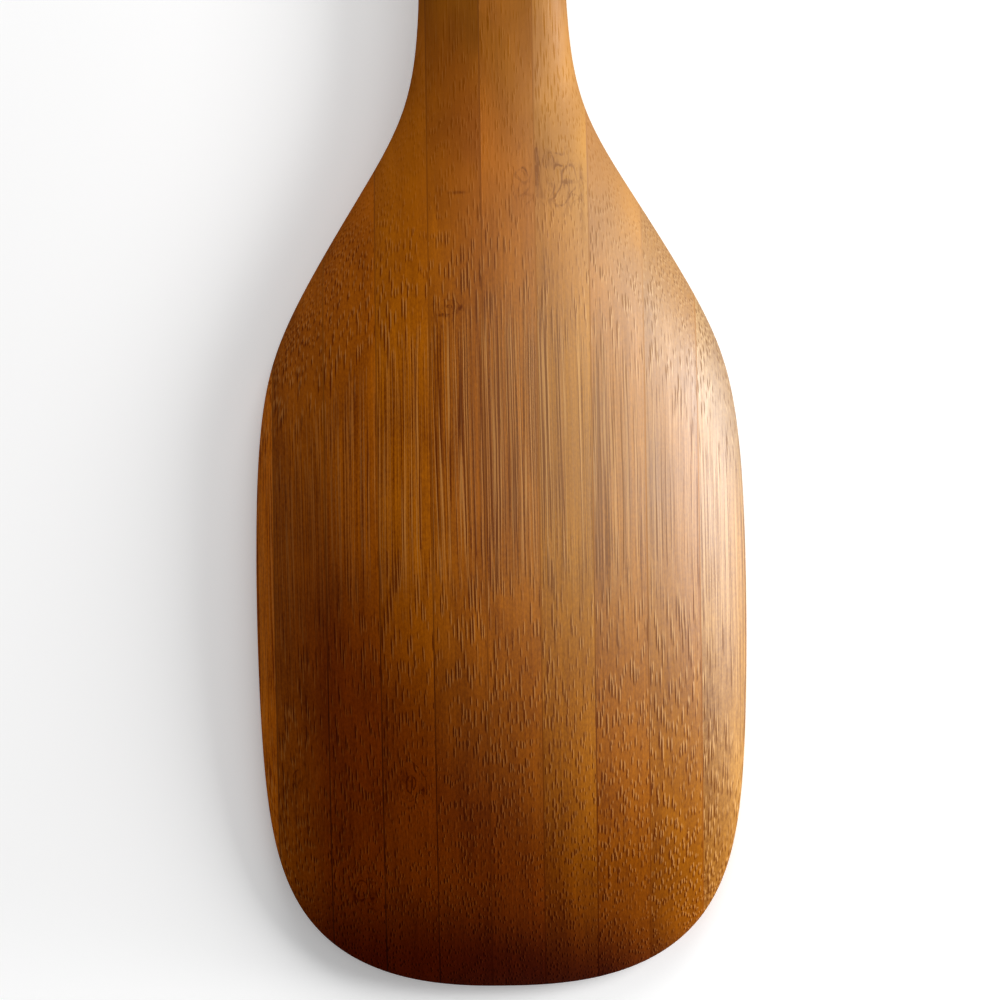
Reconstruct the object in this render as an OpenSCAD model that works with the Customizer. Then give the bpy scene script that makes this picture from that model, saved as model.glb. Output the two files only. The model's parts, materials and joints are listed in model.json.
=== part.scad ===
// Serving spoon carved from a board of edge-glued bamboo staves.
// It lies face down, on the rim of its bowl and the end of its handle, with its rounded back up.
// +Z is up, +Y runs from the tip of the head to the end of the handle, and +X is to the right
// as seen from above. The origin is at the middle of the footprint, on the surface that it rests on.

/* [Outline] */
// Length from the tip of the head to the end of the handle
spoon_l = 300; // [285:1:330]
// Width of the head at its widest
head_w = 62; // [61:0.5:68]
// Distance from the tip to the widest place of the head
head_mid_l = 50; // [44:1:54]
// How much narrower each side of the head would be at the tip, if the tip weren't rounded
head_taper = 3; // [0:0.5:5]
// Distance from the tip to the narrowest place of the neck
neck_l = 150; // [140:1:165]
// Width of the neck at its narrowest
neck_w = 18; // [17.8:0.2:21]
// Width of the handle near its end
handle_w = 22; // [20:0.2:22.6]
// Length of the rounding at the end of the handle, seen from above
handle_round_l = 11; // [9:0.5:14]

/* [Side profile] */
// Height of the back of the head above the surface
crest_h = 17.5; // [16:0.5:20]
// Distance from the tip to the highest place of the back
crest_l = 62; // [56:1:68]
// Distance from the tip to where the back starts to fall towards the neck
crest_end_l = 74; // [70:1:84]
// Distance from the tip to where the back has come down to the neck
neck_start_l = 136; // [126:1:142]
// Height of the top of the neck
neck_top_h = 11.4; // [10.6:0.2:13]
// Height of the underside of the neck, which arches over the surface
neck_under_h = 2.2; // [0:0.2:3]
// Height of the top of the handle near its end
handle_top_h = 8; // [7:0.2:10]
// Length of the stretch at the end of the handle that lies on the surface
handle_rest_l = 18; // [14:1:24]
// Length over which the end of the handle is rounded, seen from the side
handle_nose_l = 7; // [5:0.5:10]

/* [Edges] */
// Height of the outermost line of the rim
rim_edge_h = 2; // [1.6:0.1:3]
// Rounding under the rim
rim_round_r = 1.8; // [1:0.1:2.5]
// Rounding under the sides of the handle
handle_round_r = 3.6; // [2:0.2:5]

/* [Bowl] */
// Width of the flat rim at the tip and at the sides
rim_w = 3.8; // [3.2:0.2:6]
// Depth of the bowl below its rim
bowl_depth = 12.3; // [9:0.1:12.8]
// Distance from the tip to the end of the bowl
bowl_end_l = 94; // [88:1:98]
// Rounding of the bowl's edge
bowl_round_r = 0.8; // [0.2:0.1:1.5]

/* [Staves] */
// Width of one bamboo stave
stave_w = 6.67; // [6.2:0.01:7]
// Distance from the centre line to the middle glue line, which lies on its left
seam_offset = 1.8; // [0.5:0.1:2.4]
// Thickness of the glue between two staves
glue_t = 0.16; // [0.1:0.02:0.3]

/* [Hanging hole] */
// Diameter of the hole through the handle
hole_d = 6; // [4:0.5:8]
// Distance from the end of the handle to the middle of the hole
hole_end_l = 14; // [12:0.5:24]

/* [Hidden] */
// A stave at the edge of the head has at least this share of the width of a full one
least_stave_share = 0.3;
// Glue lines on the left and on the right of the middle one
left_n = floor((head_w / 2 - seam_offset) / stave_w - least_stave_share);
right_n = floor((head_w / 2 + seam_offset) / stave_w - least_stave_share);

// Staves and glue lines are counted from the middle glue line outwards. The glue line with the index 0
// is the middle one, and each stave has the index of the glue line on its left.
function stave_name(i) = i < 0 ? str("stave_left_", -i) : str("stave_right_", i + 1);
function glue_name(i) = i < 0 ? str("glue_left_", -i) : i > 0 ? str("glue_right_", i) : "glue_middle";

// How far the cutter of the hole passes each face
cut_over = 1;
// Sides of the hole's cutter
hole_sides = 64;

// Carbonised bamboo, stave by stave from the middle outwards, and the glue
left_colours = ["#a0622f", "#985a2a", "#935526", "#8a5024", "#a05f29"];
right_colours = ["#9a5c2a", "#a5683a", "#9c6132", "#a86d3f", "#b8814f"];
glue_colour = "#54290f";

// Half the width from the widest place to the neck at equal steps, as shares of what the head has
// over the neck
shoulder_shares = [1, 0.993, 0.964, 0.877, 0.653, 0.378, 0.118, 0.028, 0.008, 0.002, 0];
// Powers of the curves that round the tip, the sides and the end of the handle in the outline
tip_power = 6.1;
side_power = 2.46;
end_power = 2.2;
// Powers of the crown across the head and across the handle
head_crown_powers = [2.3, 1 / 1.7];
handle_crown_powers = [2.5, 1 / 2];
// Powers of the rise along the back from the tip, and from the end of the handle
tip_rise_powers = [2, 1 / 1.3];
nose_rise_powers = [3, 1 / 2];
// Powers of the bowl's outline at its rear, and of its depth across it, from the tip and from the rear
bowl_rear_power = 2.4;
bowl_crown_powers = [2.4, 1 / 1.25];
bowl_tip_powers = [2, 1 / 1.3];
bowl_rear_powers = [2, 1 / 1.2];
// The middle of the handle's side, as a share of its thickness there
handle_edge_share = 0.5;

// Rows of points in the rounded tip, from there to the neck, along the handle and in its end
tip_rows = 12;
shoulder_rows = 28;
handle_rows = 14;
end_rows = 7;
// Columns of points across an inner stave and across the outermost staves
inner_columns = 4;
edge_columns = 7;

// Smooth rise from 0 to 1
function ease(t) = let (s = min(1, max(0, t))) s * s * s * (s * (6 * s - 15) + 10);
function mix(a, b, t) = a + (b - a) * t;
function between(v, low, high) = min(high, max(low, v));
// Round fall from 1 at t = 0 to 0 at t = 1
function fall(t, powers) = pow(max(0, 1 - pow(between(t, 0, 1), powers[0])), powers[1]);

// Smooth curve through values at equal steps, a cubic spline
function value_at(list, i) = list[between(i, 0, len(list) - 1)];
function control(list, i) = value_at(list, i)
    - (value_at(list, i - 1) - 2 * value_at(list, i) + value_at(list, i + 1)) / 6;
function spline(list, t) = let (i = between(floor(t), 0, len(list) - 2), u = t - i)
    control(list, i - 1) * pow(1 - u, 3) / 6
    + control(list, i) * (3 * pow(u, 3) - 6 * u * u + 4) / 6
    + control(list, i + 1) * (-3 * pow(u, 3) + 3 * u * u + 3 * u + 1) / 6
    + control(list, i + 2) * pow(u, 3) / 6;

// Places along the spoon are distances from its tip
function neck_share(l) = ease((l - crest_end_l) / (neck_start_l - crest_end_l));
function handle_share(l) = ease((l - neck_l) / (spoon_l - handle_rest_l - neck_l));

// How far a place is into the tip and into the rounding of the handle's end: 0 outside, 1 at the end
function tip_share(l) = between((head_mid_l - l) / head_mid_l, 0, 1);
function end_share(l) = between((l - spoon_l + handle_round_l) / handle_round_l, 0, 1);
// Half the width, without the roundings of the two ends
function plain_half_w(l) =
    l < head_mid_l ? head_w / 2 - head_taper * tip_share(l) * tip_share(l)
    : l > neck_l ? mix(neck_w, handle_w, handle_share(l)) / 2
    : mix(neck_w, head_w, spline(shoulder_shares,
        between((l - head_mid_l) / (neck_l - head_mid_l), 0, 1) * (len(shoulder_shares) - 1))) / 2;
function inside_share(l) = max(0, 1 - pow(tip_share(l), tip_power) - pow(end_share(l), end_power));
function half_w(l) = plain_half_w(l) * pow(inside_share(l), 1 / side_power);
// Where the half width has come down to w, between a wide place and a narrow one
function place_of(w, wide, narrow, turns = 40) = let (middle = (wide + narrow) / 2)
    turns == 0 ? narrow
    : half_w(middle) > w ? place_of(w, middle, narrow, turns - 1)
    : place_of(w, wide, middle, turns - 1);
// Where the outline passes a distance x from the centre line: at the tip, between the head and the neck,
// between the neck and the handle, and at the handle's end
handle_end_l = spoon_l - handle_round_l;
function tip_at(x) = place_of(abs(x), head_mid_l, 0);
function shoulder_at(x) = place_of(abs(x), head_mid_l, neck_l);
function grip_at(x) = handle_w > neck_w ? place_of(abs(x), handle_end_l, neck_l)
    : place_of(abs(x), neck_l, handle_end_l);
function end_at(x) = place_of(abs(x), handle_end_l, spoon_l);
// Distance from the outline, near enough for the roundings under the edges
function edge_gap(x, l) = max(0, inside_share(l) - pow(abs(x) / plain_half_w(l), side_power))
    * plain_half_w(l) / side_power;

// Heights on the centre line: the back, the underside without the bowl, and the line of the edge
function back_h(l) = mix(crest_h, mix(neck_top_h, handle_top_h, handle_share(l)), neck_share(l));
function under_h(l) = mix(0, mix(neck_under_h, 0, handle_share(l)), neck_share(l));
function edge_h(l) = mix(rim_edge_h, mix(under_h(l), back_h(l), handle_edge_share), neck_share(l));
function rise_share(l) = fall((crest_l - l) / crest_l, tip_rise_powers)
    * fall((l - spoon_l + handle_nose_l) / handle_nose_l, nose_rise_powers);
// Half the width of the bowl
function bowl_half_w(l) = (head_w / 2 - head_taper * tip_share(l) * tip_share(l) - rim_w)
    * pow(max(0, 1 - pow(between((head_mid_l - l) / (head_mid_l - rim_w), 0, 1), tip_power)
        - pow(between((l - head_mid_l) / (bowl_end_l - head_mid_l), 0, 1), bowl_rear_power)), 1 / side_power);

// Height of the back and of the front face at a place
function top_z(x, l) = let (w = half_w(l), s = neck_share(l))
    edge_h(l) + (back_h(l) - edge_h(l)) * rise_share(l)
    * (w > 0 ? fall(abs(x) / w, mix(head_crown_powers, handle_crown_powers, s)) : 0);
function bowl_z(x, l) = let (w = bowl_half_w(l))
    w <= abs(x) ? 0
    : let (h = bowl_depth * fall(abs(x) / w, bowl_crown_powers)
            * fall((crest_l - l) / (crest_l - rim_w), bowl_tip_powers)
            * fall((l - crest_l) / (bowl_end_l - crest_l), bowl_rear_powers))
        sqrt(h * h + bowl_round_r * bowl_round_r) - bowl_round_r;
function under_z(x, l) = let (r = mix(rim_round_r, handle_round_r, neck_share(l)),
        s = between(edge_gap(x, l) / r, 0, 1))
    mix(edge_h(l), under_h(l), sqrt(1 - (1 - s) * (1 - s))) + bowl_z(x, l);

// Rows close up towards an end
function turn(share) = 1 - cos(90 * share);

// A strip is the part of the spoon between the planes x = xa and x = xb. Its grid is a list of rows
// of [distance from the centre line, distance from the tip], and its columns close up towards the
// outline.
function across(xa, xb, w, share) =
    w * sin(mix(asin(between(xa / w, -1, 1)), asin(between(xb / w, -1, 1)), share));
function straight_row(xa, xb, columns, l) =
    [for (c = [0:columns]) [across(xa, xb, half_w(l), c / columns), l]];
// Rows from each place of a list up to the next one, without the last
function row_grid(xa, xb, columns, places, row_l) = [for (i = [0:len(places) - 2])
    let (rows = ceil((places[i + 1] - places[i]) / row_l))
    if (rows > 0) each [for (r = [0:rows - 1])
        straight_row(xa, xb, columns, mix(places[i], places[i + 1], r / rows))]];
// Rows that bend with the outline of an end of which the strip holds the full width
function tip_row(xa, xb, columns, share) = [for (c = [0:columns])
    let (x = across(xa, xb, head_w / 2, c / columns)) [x, mix(tip_at(x), head_mid_l, share)]];
function end_row(xa, xb, columns, share) = [for (c = [0:columns])
    let (x = across(xa, xb, handle_w / 2, c / columns)) [x, mix(end_at(x), handle_end_l, share)]];

// The sides of a strip that are nearest to the centre line and farthest from it
function near_of(xa, xb) = xa * xb < 0 ? 0 : min(abs(xa), abs(xb));
function far_of(xa, xb) = max(abs(xa), abs(xb));
// A strip runs from the head through the neck, or starts again in the handle, or ends before it
function passes_neck(xa, xb) = near_of(xa, xb) < neck_w / 2;
function is_in_handle(xa, xb) = near_of(xa, xb) < handle_w / 2;
// A strip at the edge of the head or of the handle ends in a point
function has_tip_point(xa, xb) = far_of(xa, xb) >= head_w / 2;
function has_end_point(xa, xb) = !is_in_handle(xa, xb) || far_of(xa, xb) >= handle_w / 2;
// Where the outline crosses the far side of a strip while it goes from one half width to another
function crossing(far, wa, wb, place) = far > min(wa, wb) && far < max(wa, wb) ? [place] : [];

function head_grid(xa, xb, columns) = let (near = near_of(xa, xb), far = far_of(xa, xb))
    concat(
        [for (r = [0:tip_rows - 1]) let (share = turn(r / tip_rows))
            has_tip_point(xa, xb) ? straight_row(xa, xb, columns, mix(tip_at(near), head_mid_l, share))
            : tip_row(xa, xb, columns, share)],
        row_grid(xa, xb, columns,
            concat([head_mid_l], crossing(far, neck_w / 2, head_w / 2, shoulder_at(far)),
                [passes_neck(xa, xb) ? neck_l : shoulder_at(near)]),
            (neck_l - head_mid_l) / shoulder_rows));
function handle_grid(xa, xb, columns) = let (near = near_of(xa, xb), far = far_of(xa, xb))
    concat(
        row_grid(xa, xb, columns,
            concat([passes_neck(xa, xb) ? neck_l : grip_at(near)],
                crossing(far, neck_w / 2, handle_w / 2, grip_at(far)),
                [is_in_handle(xa, xb) ? handle_end_l : grip_at(near)]),
            (handle_end_l - neck_l) / handle_rows),
        !is_in_handle(xa, xb) ? [straight_row(xa, xb, columns, grip_at(near))]
        : [for (r = [0:end_rows]) let (share = turn(1 - r / end_rows))
            has_end_point(xa, xb) ? straight_row(xa, xb, columns, mix(end_at(near), handle_end_l, share))
            : end_row(xa, xb, columns, share)]);

function is_triangle(t) = t[0] != t[1] && t[1] != t[2] && t[2] != t[0];

// The solid on a grid: its back, its front and its two sides. The back and the front share their
// points on the outline, and the rows of a pointed end are one point.
module solid(grid, xa, xb, columns, has_first_point, has_last_point) {
    last = len(grid) - 1;
    wide = columns + 1;
    places = [for (row = grid) each row];
    back = [for (p = places) [p.x, p.y - spoon_l / 2, top_z(p.x, p.y)]];
    front = [for (p = places) [p.x, p.y - spoon_l / 2, under_z(p.x, p.y)]];

    function in_point(r) = (r == 0 && has_first_point) || (r == last && has_last_point);
    function on_outline(r, c) = r == 0 || r == last
        || (c == 0 && xa <= -half_w(grid[r][c].y)) || (c == columns && xb >= half_w(grid[r][c].y));
    function back_i(r, c) = r * wide + (in_point(r) ? 0 : c);
    function front_i(r, c) = back_i(r, c) + (on_outline(r, c) ? 0 : len(back));
    function pair(a, b, c, d) = [for (t = [[a, b, c], [a, c, d]]) if (is_triangle(t)) t];

    faces = [for (r = [0:last - 1]) each concat(
        [for (c = [0:columns - 1]) each
            pair(back_i(r, c), back_i(r + 1, c), back_i(r + 1, c + 1), back_i(r, c + 1))],
        [for (c = [0:columns - 1]) each
            pair(front_i(r, c), front_i(r, c + 1), front_i(r + 1, c + 1), front_i(r + 1, c))],
        pair(back_i(r, 0), front_i(r, 0), front_i(r + 1, 0), back_i(r + 1, 0)),
        pair(back_i(r, columns), back_i(r + 1, columns), front_i(r + 1, columns), front_i(r, columns)))];
    polyhedron(concat(back, front), faces);
}

module strip(xa, xb, columns) {
    head = head_grid(xa, xb, columns);
    if (passes_neck(xa, xb)) {
        solid(concat(head, handle_grid(xa, xb, columns)), xa, xb, columns,
            has_tip_point(xa, xb), has_end_point(xa, xb));
    } else {
        point = straight_row(xa, xb, columns, shoulder_at(near_of(xa, xb)));
        solid(concat(head, [point]), xa, xb, columns, has_tip_point(xa, xb), true);
        if (is_in_handle(xa, xb))
            solid(handle_grid(xa, xb, columns), xa, xb, columns, true, has_end_point(xa, xb));
    }
}

module hole_cutter() {
    translate([0, spoon_l / 2 - hole_end_l, -cut_over])
        cylinder(h = crest_h + 2 * cut_over, d = hole_d, $fn = hole_sides);
}

function seam_x(i) = i * stave_w - seam_offset;
module stave(i) {
    is_outer = i < -left_n || i == right_n;
    xa = i < -left_n ? -head_w / 2 : seam_x(i) + glue_t / 2;
    xb = i == right_n ? head_w / 2 : seam_x(i + 1) - glue_t / 2;
    color(i < 0 ? value_at(left_colours, -i - 1) : value_at(right_colours, i)) difference() {
        strip(xa, xb, is_outer ? edge_columns : inner_columns);
        if (near_of(xa, xb) < hole_d / 2) hole_cutter();
    }
}
module glue_line(i) {
    xa = seam_x(i) - glue_t / 2;
    xb = seam_x(i) + glue_t / 2;
    color(glue_colour) difference() {
        strip(xa, xb, 1);
        if (near_of(xa, xb) < hole_d / 2) hole_cutter();
    }
}

for (i = [-left_n - 1:right_n])
    stave(i);
for (i = [-left_n:right_n])
    glue_line(i);
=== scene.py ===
"""Looks of the bamboo serving spoon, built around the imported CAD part.

The spoon lies face down on a pale table, with its domed back up. It was carved from a board of
bamboo staves, glued edge to edge, so each stave and each glue line is a piece of its own.
Sizes are in millimetres in the classes and in metres in Blender.
"""

from __future__ import annotations

import json
import logging
import math
from collections.abc import Callable
from dataclasses import dataclass, field
from enum import Enum
from functools import partial

import bpy
import numpy as np
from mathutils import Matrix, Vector
from mathutils.geometry import delaunay_2d_cdt

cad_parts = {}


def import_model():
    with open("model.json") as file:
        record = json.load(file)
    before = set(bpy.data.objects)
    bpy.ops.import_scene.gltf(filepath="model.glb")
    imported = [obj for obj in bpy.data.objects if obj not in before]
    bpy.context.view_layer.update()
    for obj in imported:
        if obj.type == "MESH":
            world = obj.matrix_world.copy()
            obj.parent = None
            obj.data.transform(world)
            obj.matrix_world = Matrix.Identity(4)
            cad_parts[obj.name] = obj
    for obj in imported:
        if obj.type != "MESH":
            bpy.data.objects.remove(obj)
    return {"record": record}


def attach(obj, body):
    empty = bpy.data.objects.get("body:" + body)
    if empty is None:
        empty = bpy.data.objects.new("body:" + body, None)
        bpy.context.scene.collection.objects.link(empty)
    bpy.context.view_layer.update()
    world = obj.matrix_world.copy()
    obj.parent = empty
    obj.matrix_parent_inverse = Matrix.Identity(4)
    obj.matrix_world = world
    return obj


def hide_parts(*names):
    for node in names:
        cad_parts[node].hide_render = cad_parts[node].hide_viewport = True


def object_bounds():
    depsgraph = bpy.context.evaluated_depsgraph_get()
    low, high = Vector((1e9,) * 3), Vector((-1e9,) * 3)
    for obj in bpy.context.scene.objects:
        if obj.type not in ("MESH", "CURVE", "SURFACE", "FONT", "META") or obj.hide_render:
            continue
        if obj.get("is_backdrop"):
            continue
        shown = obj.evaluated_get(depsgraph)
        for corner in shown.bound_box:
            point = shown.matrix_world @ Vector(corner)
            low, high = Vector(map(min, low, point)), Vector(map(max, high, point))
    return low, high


LOG = logging.getLogger("serving_spoon")
MM = 0.001
# The kinds of node that the patterns use most
MATHS, VECTOR, RAMP, NOISE, MIX = (
    f"ShaderNode{kind}" for kind in ("Math", "VectorMath", "MapRange", "TexNoise", "Mix")
)
SOFT = "SMOOTHSTEP"
# Inputs of a Mix node that mixes colours, and its output
FACTOR, FIRST, SECOND, MIXED = 0, 6, 7, 2
# What a noise is on average
NOISE_MEAN = 0.5
Array = np.ndarray
Place = tuple[float, float, float]
Colour = tuple[float, float, float, float]
WHITE: Colour = (1.0, 1.0, 1.0, 1.0)
Socket = bpy.types.NodeSocket
# Adds a node to the material at hand
Adder = Callable[..., Socket]
# Where a measure starts and ends, and the value at its start and at its end
Ramp = tuple[float, float, float, float]


def from_srgb(text: str) -> Colour:
    """Turns an sRGB hex colour to a linear one, by the curve of the sRGB standard.

    Args:
        text: The colour as #rrggbb.

    Returns:
        Red, green, blue and alpha, linear.
    """
    parts = [int(text[i : i + 2], 16) / 255 for i in (1, 3, 5)]
    linear = [v / 12.92 if v <= 0.04045 else ((v + 0.055) / 1.055) ** 2.4 for v in parts]
    return (linear[0], linear[1], linear[2], 1.0)


def add_node(
    tree: bpy.types.NodeTree,
    kind: str,
    inputs: dict[int | str, object] | tuple[object, ...] = (),
    out: int | str = 0,
    **settings: object,
) -> Socket:
    """Adds a node with its settings, its values and its links.

    Args:
        tree: The node tree of a material or of the world.
        kind: The node's type, such as ShaderNodeMath.
        inputs: A socket to link, or a value to set, for each input from the first on, or by the
            name or number of an input.
        out: The name or number of the output to return.
        **settings: Properties of the node.

    Returns:
        The output named by out, or the first input where a node has no output.
    """
    node = tree.nodes.new(kind)
    for name, value in settings.items():
        setattr(node, name, value)
    for key, value in inputs.items() if isinstance(inputs, dict) else enumerate(inputs):
        if isinstance(value, Socket):
            tree.links.new(value, node.inputs[key])
        else:
            node.inputs[key].default_value = value
    return node.outputs[out] if node.outputs else node.inputs[0]


def new_material(name: str) -> tuple[bpy.types.Material, Adder]:
    """Makes an empty node material.

    Args:
        name: The material's name.

    Returns:
        The material, and what adds its nodes.
    """
    material = bpy.data.materials.new(name)
    material.use_nodes = True
    material.node_tree.nodes.clear()
    return material, partial(add_node, material.node_tree)


def add_places(add: Adder) -> tuple[Socket, Socket, Socket, Socket]:
    """Adds the places that the patterns in the board are drawn from.

    Args:
        add: Adds a node to the material.

    Returns:
        The place in millimetres, its X, its Y, and its distance from the tip.
    """
    place = add("ShaderNodeTexCoord", out="Object")
    # Object coordinates are in metres, and the patterns are in millimetres
    place = add(VECTOR, (place, (1000, 1000, 1000)), operation="MULTIPLY")
    x = add("ShaderNodeSeparateXYZ", (place,))
    y = x.node.outputs[1]
    return place, x, y, add(MATHS, (y, SpoonForm.length / 2), operation="ADD")


def smooth_step(t: Array) -> Array:
    """Smooth rise from 0 to 1 with flat ends."""
    s = np.clip(t, 0, 1)
    return s * s * s * (s * (6 * s - 15) + 10)


def mix(a: Array | float, b: Array | float, t: Array | float) -> Array:
    """Goes from a to b as t goes from 0 to 1."""
    return a + (b - a) * t


def fall(t: Array, powers: tuple[float, float]) -> Array:
    """Round fall from 1 at t = 0 to 0 at t = 1."""
    return np.maximum(0, 1 - np.clip(t, 0, 1) ** powers[0]) ** powers[1]


@dataclass(frozen=True)
class SpoonForm:
    """The carved form of the spoon, the same as in the CAD part.

    In its methods, x is a distance from the centre line and l a distance from the tip.
    """

    length: float = 300.0
    head_w: float = 62.0
    head_mid: float = 50.0
    head_taper: float = 3.0
    neck: float = 150.0
    neck_w: float = 18.0
    handle_w: float = 22.0
    handle_round: float = 11.0
    crest_h: float = 17.5
    crest: float = 62.0
    crest_end: float = 74.0
    neck_start: float = 136.0
    neck_top: float = 11.4
    neck_under: float = 2.2
    handle_top: float = 8.0
    handle_rest: float = 18.0
    handle_nose: float = 7.0
    rim_edge: float = 2.0
    rim_round: float = 1.8
    grip_round: float = 3.6
    rim_w: float = 3.8
    bowl_depth: float = 12.3
    bowl_end: float = 94.0
    bowl_round: float = 0.8
    hole_r: float = 3.0
    hole_place: float = 286.0
    # The drilled hole's edges are eased by hand with sandpaper
    hole_ease: float = 0.5
    # Shares of the head's extra width, at even steps from its widest place to the neck
    shoulders: tuple[float, ...] = (
        1, 0.993, 0.964, 0.877, 0.653, 0.378, 0.118, 0.028, 0.008, 0.002, 0
    )
    # Powers of the rounded outlines, crowns and ends
    tip_power: float = 6.1
    side_power: float = 2.46
    end_power: float = 2.2
    bowl_rear_power: float = 2.4
    head_crown: tuple[float, float] = (2.3, 1 / 1.7)
    grip_crown: tuple[float, float] = (2.5, 1 / 2)
    tip_rise: tuple[float, float] = (2.0, 1 / 1.3)
    nose_rise: tuple[float, float] = (3.0, 1 / 2)
    bowl_crown: tuple[float, float] = (2.4, 1 / 1.25)
    bowl_tip: tuple[float, float] = (2.0, 1 / 1.3)
    bowl_rear: tuple[float, float] = (2.0, 1 / 1.2)
    # How high the outermost line of the handle runs, from its underside to its top
    side_share: float = 0.5
    # Least width to divide by
    least: float = 1e-9

    def shoulder_share(self, l: Array) -> Array:
        """Share of the head's extra width that is left between the head and the neck.

        Args:
            l: Distances from the tip.

        Returns:
            1 at the widest place of the head, and 0 at the neck.
        """
        values = np.array(self.shoulders)
        last = len(values) - 1
        t = np.clip((l - self.head_mid) / (self.neck - self.head_mid), 0, 1) * last
        i = np.clip(np.floor(t), 0, last - 1).astype(int)
        u = t - i

        def control(k: Array) -> Array:
            """Control value of a cubic spline near its k-th value."""
            before, here, after = (values[np.clip(k + d, 0, last)] for d in (-1, 0, 1))
            return here - (before - 2 * here + after) / 6

        return (
            control(i - 1) * (1 - u) ** 3
            + control(i) * (3 * u**3 - 6 * u * u + 4)
            + control(i + 1) * (-3 * u**3 + 3 * u * u + 3 * u + 1)
            + control(i + 2) * u**3
        ) / 6

    def neck_share(self, l: Array) -> Array:
        """0 on the head and 1 from the neck on."""
        return smooth_step((l - self.crest_end) / (self.neck_start - self.crest_end))

    def grip_share(self, l: Array) -> Array:
        """0 up to the neck and 1 where the handle has its full width."""
        return smooth_step((l - self.neck) / (self.length - self.handle_rest - self.neck))

    def tip_share(self, l: Array) -> Array:
        """0 from the widest place of the head on, and 1 at the tip."""
        return np.clip((self.head_mid - l) / self.head_mid, 0, 1)

    def head_half_w(self, l: Array) -> Array:
        """Half the head's width, without the rounding of its tip."""
        return self.head_w / 2 - self.head_taper * self.tip_share(l) ** 2

    def plain_half_w(self, l: Array) -> Array:
        """Half the width, without the roundings of the two ends."""
        shoulder = mix(self.neck_w, self.head_w, np.minimum(1, self.shoulder_share(l))) / 2
        grip = mix(self.neck_w, self.handle_w, self.grip_share(l)) / 2
        rest = np.where(l > self.neck, grip, shoulder)
        return np.where(l < self.head_mid, self.head_half_w(l), rest)

    def inside_share(self, l: Array) -> Array:
        """1 away from the two rounded ends, and 0 at them."""
        end = np.clip((l - self.length + self.handle_round) / self.handle_round, 0, 1)
        return np.maximum(0, 1 - self.tip_share(l) ** self.tip_power - end**self.end_power)

    def half_w(self, l: Array) -> Array:
        """Half the width of the outline."""
        return self.plain_half_w(l) * self.inside_share(l) ** (1 / self.side_power)

    def bowl_half_w(self, l: Array) -> Array:
        """Half the width of the bowl's opening."""
        tip = np.clip((self.head_mid - l) / (self.head_mid - self.rim_w), 0, 1)
        rear = np.clip((l - self.head_mid) / (self.bowl_end - self.head_mid), 0, 1)
        left = np.maximum(0, 1 - tip**self.tip_power - rear**self.bowl_rear_power)
        return (self.head_half_w(l) - self.rim_w) * left ** (1 / self.side_power)

    def edge_gap(self, x: Array, l: Array) -> Array:
        """Distance from the outline, near enough for the roundings under the edges."""
        wide = self.plain_half_w(l)
        left = self.inside_share(l) - (np.abs(x) / wide) ** self.side_power
        return np.maximum(0, left) * wide / self.side_power

    def back_height(self, l: Array) -> Array:
        """Height of the back on the centre line, without the roundings of the two ends."""
        neck = mix(self.neck_top, self.handle_top, self.grip_share(l))
        return mix(self.crest_h, neck, self.neck_share(l))

    def under_height(self, l: Array) -> Array:
        """Height of the underside on the centre line, without the bowl."""
        return mix(0.0, mix(self.neck_under, 0.0, self.grip_share(l)), self.neck_share(l))

    def edge_height(self, l: Array) -> Array:
        """Height of the outermost line."""
        side = mix(self.under_height(l), self.back_height(l), self.side_share)
        return mix(self.rim_edge, side, self.neck_share(l))

    def eased(self, x: Array, l: Array) -> Array:
        """How far the surface drops at the eased edge of the hanging hole."""
        gap = np.hypot(x, l - self.hole_place) - self.hole_r
        s = np.clip(1 - gap / self.hole_ease, 0, 1)
        return self.hole_ease * (1 - np.sqrt(1 - s * s))

    def back_z(self, x: Array, l: Array) -> Array:
        """Height of the back at the given places.

        Args:
            x: Distances from the centre line.
            l: Distances from the tip.

        Returns:
            The heights.
        """
        wide = np.maximum(self.half_w(l), self.least)
        s = self.neck_share(l)
        powers = [mix(head, grip, s) for head, grip in zip(self.head_crown, self.grip_crown)]
        rise = fall((self.crest - l) / self.crest, self.tip_rise)
        rise = rise * fall((l - self.length + self.handle_nose) / self.handle_nose, self.nose_rise)
        edge = self.edge_height(l)
        crown = (self.back_height(l) - edge) * rise * fall(np.abs(x) / wide, powers)
        return edge + crown - self.eased(x, l)

    def front_z(self, x: Array, l: Array) -> Array:
        """Height of the underside, the bowl included, at the given places.

        Args:
            x: Distances from the centre line.
            l: Distances from the tip.

        Returns:
            The heights.
        """
        wide = self.bowl_half_w(l)
        deep = self.bowl_depth * fall(np.abs(x) / np.maximum(wide, self.least), self.bowl_crown)
        deep = deep * fall((self.crest - l) / (self.crest - self.rim_w), self.bowl_tip)
        deep = deep * fall((l - self.crest) / (self.bowl_end - self.crest), self.bowl_rear)
        deep = np.where(wide > np.abs(x), deep, 0)
        bowl = np.sqrt(deep * deep + self.bowl_round**2) - self.bowl_round
        round_r = mix(self.rim_round, self.grip_round, self.neck_share(l))
        s = np.clip(self.edge_gap(x, l) / round_r, 0, 1)
        side = np.sqrt(1 - (1 - s) ** 2)
        return mix(self.edge_height(l), self.under_height(l), side) + bowl + self.eased(x, l)


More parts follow.
